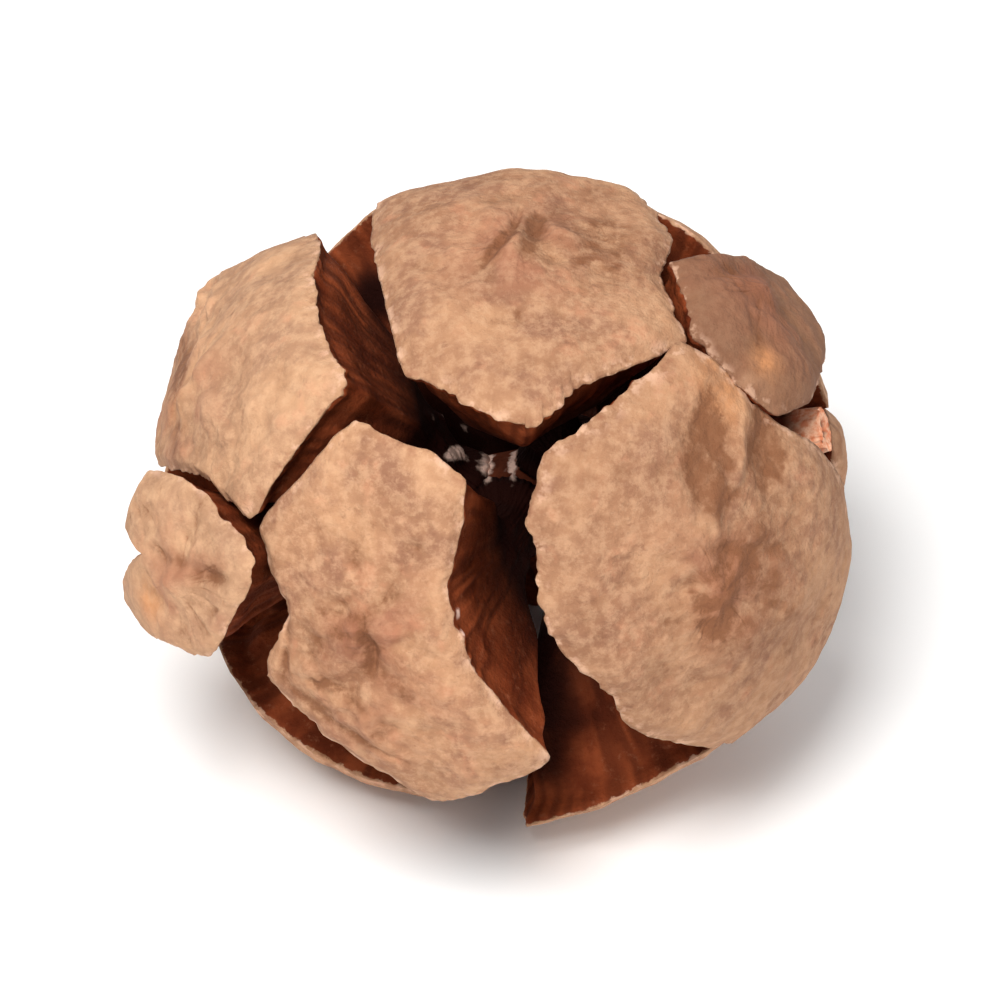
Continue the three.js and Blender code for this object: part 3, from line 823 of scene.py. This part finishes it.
def scale_material():
    m = Nodes("cone_scale")
    wall, edge, crease = m.value("wall"), m.value("edge"), m.value("crease")
    scar, deep, tone = m.value("scar"), m.value("deep"), m.value("tone")

    # the shield's weathered skin
    skin = m.mix(m.span(m.noise(4.0, 3), 0.35, 0.65), color("brown"), color("tan"))
    skin = m.over(skin, m.span(m.noise(2.2, 4, 0.65), 0.46, 0.68), 0.65, "grey")
    skin = m.over(skin, m.span(m.noise(1.4, 3), 0.55, 0.72), 0.5, "pink")
    skin = m.over(skin, m.span(m.noise(0.5, 5, 0.7), 0.40, 0.66), 0.5, "grain")
    skin = m.over(skin, m.span(m.noise(0.55, 4, 0.65), 0.58, 0.76), 0.45, "speck")
    skin = m.mix(m.span(tone, 0.0, 1.0, 0.0, 0.75), skin, color("pale"))
    skin = m.mix(m.span(tone, 0.0, -1.0, 0.0, 0.8), skin, color("dark"))
    skin = m.over(skin, m.value("warm"), m.span(m.noise(1.1, 3), 0.3, 0.65, 0.2, 0.7), "orange")
    skin = m.over(skin, m.value("blush"), 0.6, "blush")
    blotch = m.span(m.noise(0.7, 4, 0.7), 0.35, 0.65, -0.35, 0.2)
    patchy = m.calc("MULTIPLY", blotch, m.span(crease, 0.2, 0.7))
    # folds, cracks and low places painted darker as shade, together with the brown stains
    skin = m.over(skin, m.span(m.calc("ADD", crease, patchy), 0.05, 0.95), 0.85, "stain_and_shade_brown")
    # ridges and raised places painted lighter as a highlight
    skin = m.over(skin, m.span(crease, -0.1, -0.8), 0.4, "painted_ridge_highlight")
    rim_spots = m.noise(0.7, 3)
    skin = m.over(skin, m.calc("MULTIPLY", edge, m.span(rim_spots, 0.45, 0.3)), 0.6, "ragged")
    # pale crumbs along the worn rim, partly a painted rim highlight
    skin = m.over(skin, m.calc("MULTIPLY", edge, m.span(rim_spots, 0.5, 0.62)), 0.6, "crumb_and_rim_highlight")

    # the side walls, dark and red-brown, with streaks that run in towards the stalk
    bark = m.mix(m.span(m.noise(1.8, 4), 0.35, 0.65), color("bark"), color("red bark"))
    bark = m.over(bark, m.span(crease, 0.0, 1.0), 0.6, "streak")
    bark = m.over(bark, m.span(m.noise(0.5, 4, 0.7), 0.55, 0.75), 0.35, "dust")
    # painted shade: the walls darken to near black deeper in the gaps and in the listed hollows
    bark = m.mix(m.span(deep, 0.42, 0.72), bark, color("deep"))
    worn = m.calc("ADD", scar, m.span(m.noise(0.3, 3), 0.3, 0.7, -0.12, 0.10))
    bark = m.mix(m.span(worn, 0.2, 0.7), bark, color("scar"))

    line = m.calc("ADD", wall, m.span(m.noise(0.4, 3), 0.3, 0.7, -0.3, 0.3))
    base = m.mix(m.span(line, 0.35, 0.65), skin, bark)
    coarse = m.bump(m.noise(0.9, 4, 0.6), 0.9, 0.18)
    fine = m.bump(m.noise(0.28, 4, 0.7), 0.9, 0.09, coarse)
    rough, specular = m.span(wall, 0.0, 1.0, 0.85, 0.7), m.span(wall, 0.0, 1.0, 0.25, 0.03)
    return m.finish(base, rough, specular, fine)


def axis_material():
    m = Nodes("cone_axis")
    end = m.value("end")
    bark = m.mix(m.span(m.noise(1.2, 4), 0.35, 0.65), color("dark axis"), color("axis"))
    cut = m.mix(m.span(m.noise(0.3, 3), 0.35, 0.65), color("cut"), color("pale cut"))
    base = m.mix(m.value("pith"), m.mix(end, bark, cut), color("pith"))
    worn = m.calc("ADD", m.value("scar"), m.span(m.noise(0.35, 4, 0.7), 0.3, 0.7, -0.42, 0.1))
    base = m.mix(m.span(worn, 0.1, 0.75), base, color("scar"))
    rough = m.span(m.noise(0.5, 3), 0.3, 0.7, 0.6, 0.85)
    specular = m.span(end, 0.0, 1.0, 0.03, 0.3)
    return m.finish(base, rough, specular, m.bump(m.noise(0.25, 4, 0.7), 0.8, 0.08))


def floor_material():
    m = Nodes("pale_floor")
    shade = m.span(m.noise(40, 3), 0.3, 0.7)
    base = m.mix(shade, (0.92, 0.92, 0.92, 1), (0.95, 0.95, 0.95, 1))
    m.link(base, m.shader.inputs["Base Color"])
    m.shader.inputs["Roughness"].default_value = 0.6
    return m.material


wood = scale_material()
for number, scale in enumerate(SCALES):
    piece = scale_piece(number, scale)
    piece.data.materials.append(wood)
    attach(piece, "root")
    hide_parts(scale[0])
stem = axis_piece()
stem.data.materials.append(axis_material())
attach(stem, "root")
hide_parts("axis")

# ---- the floor, the lights and the camera, in metres
FLOOR_SIZE = 3.0
# name, place, size, power and colour
LIGHTS = [
    ("key", (-0.07, -0.18, 0.38), 0.16, 1.95, (1.0, 0.99, 0.97)),
    ("fill", (0.30, -0.20, 0.22), 0.30, 0.3, (0.97, 0.98, 1.0)),
    ("back", (-0.10, 0.36, 0.26), 0.30, 0.4, (1.0, 1.0, 1.0)),
]
LIT_POINT = (0, 0, 0.012)
SKY_STRENGTH = 0.36
TARGET = Vector((0.0005, 0.0002, 0.0127))
ELEVATION = math.radians(45)
DISTANCE = 0.40
FRAME_WIDTH = 0.0415
SENSOR_WIDTH = 36


def aim(thing, target):
    thing.rotation_euler = (Vector(target) - thing.location).to_track_quat("-Z", "Y").to_euler()


half = FLOOR_SIZE / 2
floor_mesh = bpy.data.meshes.new("floor")
floor_corners = [(-half, -half, 0), (half, -half, 0), (half, half, 0), (-half, half, 0)]
floor_mesh.from_pydata(floor_corners, [], [(0, 1, 2, 3)])
floor = linked(bpy.data.objects.new("floor", floor_mesh))
floor.data.materials.append(floor_material())

for name, place, size, power, tint in LIGHTS:
    data = bpy.data.lights.new(name, "AREA")
    data.shape = "SQUARE"
    data.size = size
    data.energy = power
    data.color = tint
    light = linked(bpy.data.objects.new(name, data))
    light.location = place
    aim(light, LIT_POINT)

world = bpy.data.worlds.new("studio")
world.use_nodes = True
background = world.node_tree.nodes["Background"]
background.inputs["Color"].default_value = (1.0, 1.0, 1.0, 1.0)
background.inputs["Strength"].default_value = SKY_STRENGTH
bpy.context.scene.world = world
bpy.context.scene.view_settings.view_transform = "Standard"

camera_data = bpy.data.cameras.new("camera")
camera_data.sensor_width = SENSOR_WIDTH
camera_data.lens = SENSOR_WIDTH * DISTANCE / FRAME_WIDTH
camera_data.clip_start = 0.01
camera_data.clip_end = 10
camera = linked(bpy.data.objects.new("camera", camera_data))
camera.location = TARGET + DISTANCE * Vector((0, -math.cos(ELEVATION), math.sin(ELEVATION)))
aim(camera, TARGET)
bpy.context.scene.camera = camera

bpy.context.view_layer.update()
